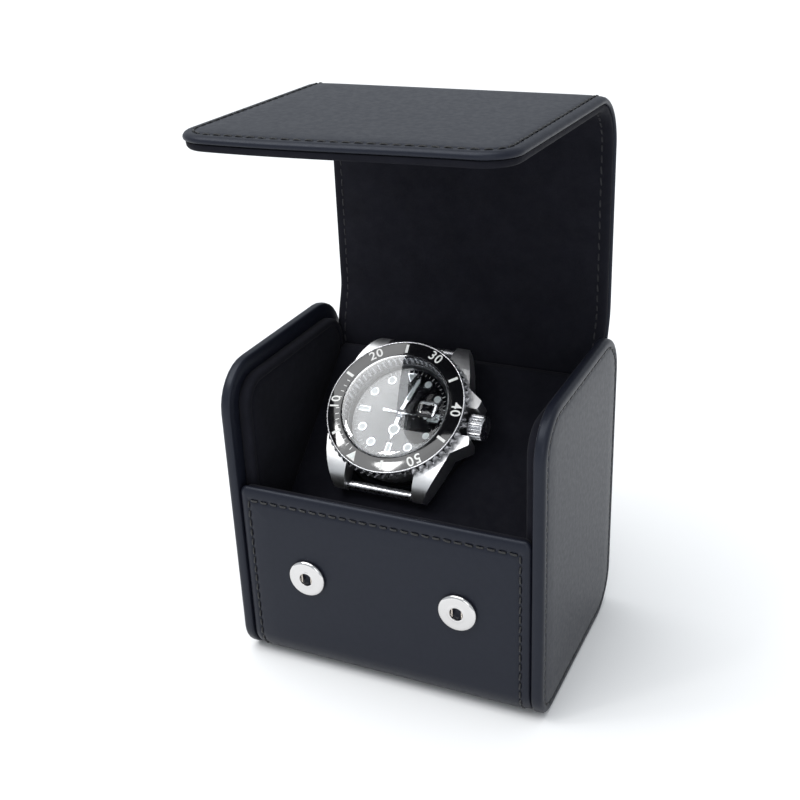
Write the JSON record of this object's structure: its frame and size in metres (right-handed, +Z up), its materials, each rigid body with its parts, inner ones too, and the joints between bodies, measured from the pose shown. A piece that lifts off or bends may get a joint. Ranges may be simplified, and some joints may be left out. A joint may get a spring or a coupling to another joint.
{
  "type": "watch winder box",
  "caption": "Leather-covered single watch winder box with a folding snap flap, a turning cushion in a tilted cup and a diver's watch on it.",
  "frame": {"origin": "centre of the flat base, on the surface that it stands on", "axes": "+Z up, -Y towards the front wall with the snaps, +X to the right seen from the front"},
  "size_m": [0.094, 0.082, 0.1595],
  "materials": {
    "leather": "fine pebbled grain, satin",
    "board": "stiff pressed board",
    "microfibre": "short-nap microfibre on thin foam",
    "nickel": "polished nickel plate",
    "spring_steel": "spring wire",
    "frame_plastic": "moulded, fine texture",
    "acetal": "moulded gears",
    "bush_brass": "turned",
    "steel": "turned",
    "motor_can": "drawn can",
    "circuit": "solder mask",
    "watch_steel": "brushed and polished",
    "ceramic": "glossy black insert",
    "dial": "glossy black with pale markers",
    "crystal": "clear",
    "movement": "plated",
    "hands": "polished with pale fill"
  },
  "bodies": {
    "case": {"outer_panel_left": "leather", "outer_panel_right": "leather", "inner_panel_left": "leather", "inner_panel_right": "leather", "wrap_leather": "leather", "front_board": "board", "base_board": "board", "back_board": "board", "front_lining": "microfibre", "base_lining": "microfibre", "back_lining": "microfibre", "snap_sockets": "nickel", "snap_springs": "spring_steel", "snap_socket_backs": "nickel", "face_plate": "microfibre", "cheek_left": "frame_plastic", "cheek_right": "frame_plastic", "gear_plate": "frame_plastic", "spindle_bush": "bush_brass", "idler_pin": "steel", "gear_motor": "motor_can", "motor_screws": "steel", "power_inlet": "frame_plastic", "switch_housing": "frame_plastic", "circuit_board": "circuit"},
    "lid": {"lid_leather": "leather", "lid_board": "board", "lid_lining": "microfibre", "lid_fold_leather": "leather", "lid_fold_lining": "microfibre"},
    "flap": {"flap_leather": "leather", "flap_board": "board", "flap_lining": "microfibre", "flap_bend_leather": "leather", "flap_bend_lining": "microfibre", "snap_studs": "nickel", "snap_stud_backs": "nickel"},
    "cup": {"cup": "frame_plastic", "spindle": "steel", "spindle_gear": "acetal", "spindle_clip": "spring_steel"},
    "idler": {"idler_gear": "acetal"},
    "motor_shaft": {"motor_pinion": "acetal"},
    "cushion": {"cushion": "microfibre"},
    "watch": {"watch_case": "watch_steel", "watch_case_back": "watch_steel", "watch_rehaut": "watch_steel", "watch_dial": "dial", "watch_crystal": "crystal", "watch_date_lens": "crystal", "watch_movement": "movement", "watch_spring_bars": "watch_steel"},
    "bezel": {"watch_bezel": "watch_steel", "watch_bezel_insert": "ceramic"},
    "stem": {"watch_stem": "steel"},
    "crown": {"watch_crown": "watch_steel"},
    "hour_hand": {"watch_hour_hand": "hands"},
    "minute_hand": {"watch_minute_hand": "hands"},
    "second_hand": {"watch_second_hand": "hands"},
    "rocker": {"switch_rocker": "frame_plastic"}
  },
  "joints": [
    {"name": "lid_fold", "type": "hinge", "parent": "case", "child": "lid", "pos_m": [0, 0.0313, 0.08625], "axis": [-1, 0, 0], "range_deg": [-90, 90], "deforming": ["lid_fold_leather", "lid_fold_lining"]},
    {"name": "flap_fold", "type": "hinge", "parent": "lid", "child": "flap", "pos_m": [0, 0.03267, 0.15442], "axis": [-1, 0, 0], "range_deg": [0, 90], "deforming": ["flap_bend_leather", "flap_bend_lining"]},
    {"name": "cup_spin", "type": "hinge", "parent": "case", "child": "cup", "pos_m": [-0.0096, 0.00887, 0.06276], "axis": [0, -0.6494, 0.7604], "continuous": true},
    {"name": "idler_spin", "type": "hinge", "parent": "case", "child": "idler", "pos_m": [-0.0096, -0.00253, 0.05302], "axis": [0, -0.6494, 0.7604], "continuous": true},
    {"name": "motor_spin", "type": "hinge", "parent": "case", "child": "motor_shaft", "pos_m": [-0.0096, -0.01166, 0.04523], "axis": [0, -0.6494, 0.7604], "continuous": true},
    {"name": "cushion_lift", "type": "slide", "parent": "cup", "child": "cushion", "axis": [0, -0.6494, 0.7604], "range_m": [0, 0.036]},
    {"name": "watch_lift", "type": "slide", "parent": "cushion", "child": "watch", "axis": [0, -0.6494, 0.7604], "range_m": [0, 0.03]},
    {"name": "bezel_turn", "type": "hinge", "parent": "watch", "child": "bezel", "pos_m": [-0.0096, 0.00108, 0.07189], "axis": [0, -0.6494, 0.7604], "continuous": true},
    {"name": "crown_pull", "type": "slide", "parent": "watch", "child": "stem", "axis": [1, 0, 0], "range_m": [0, 0.0015]},
    {"name": "crown_turn", "type": "hinge", "parent": "stem", "child": "crown", "pos_m": [-0.0096, 0.00426, 0.06816], "axis": [1, 0, 0], "continuous": true},
    {"name": "second_hand_turn", "type": "hinge", "parent": "watch", "child": "second_hand", "pos_m": [-0.0096, 0.00173, 0.07112], "axis": [0, 0.6494, -0.7604], "continuous": true},
    {"name": "minute_hand_turn", "type": "hinge", "parent": "watch", "child": "minute_hand", "pos_m": [-0.0096, 0.00173, 0.07112], "axis": [0, 0.6494, -0.7604], "continuous": true},
    {"name": "hour_hand_turn", "type": "hinge", "parent": "watch", "child": "hour_hand", "pos_m": [-0.0096, 0.00173, 0.07112], "axis": [0, 0.6494, -0.7604], "continuous": true},
    {"name": "rocker_switch", "type": "hinge", "parent": "case", "child": "rocker", "pos_m": [-0.016, 0.03315, 0.022], "axis": [0, 0, 1], "range_deg": [0, 24]}
  ],
  "couplings": [
    {"joint": "idler_spin", "follows": "cup_spin", "ratio": -4},
    {"joint": "motor_spin", "follows": "cup_spin", "ratio": 12},
    {"joint": "minute_hand_turn", "follows": "second_hand_turn", "ratio": 0.016667},
    {"joint": "hour_hand_turn", "follows": "second_hand_turn", "ratio": 0.0013889}
  ]
}
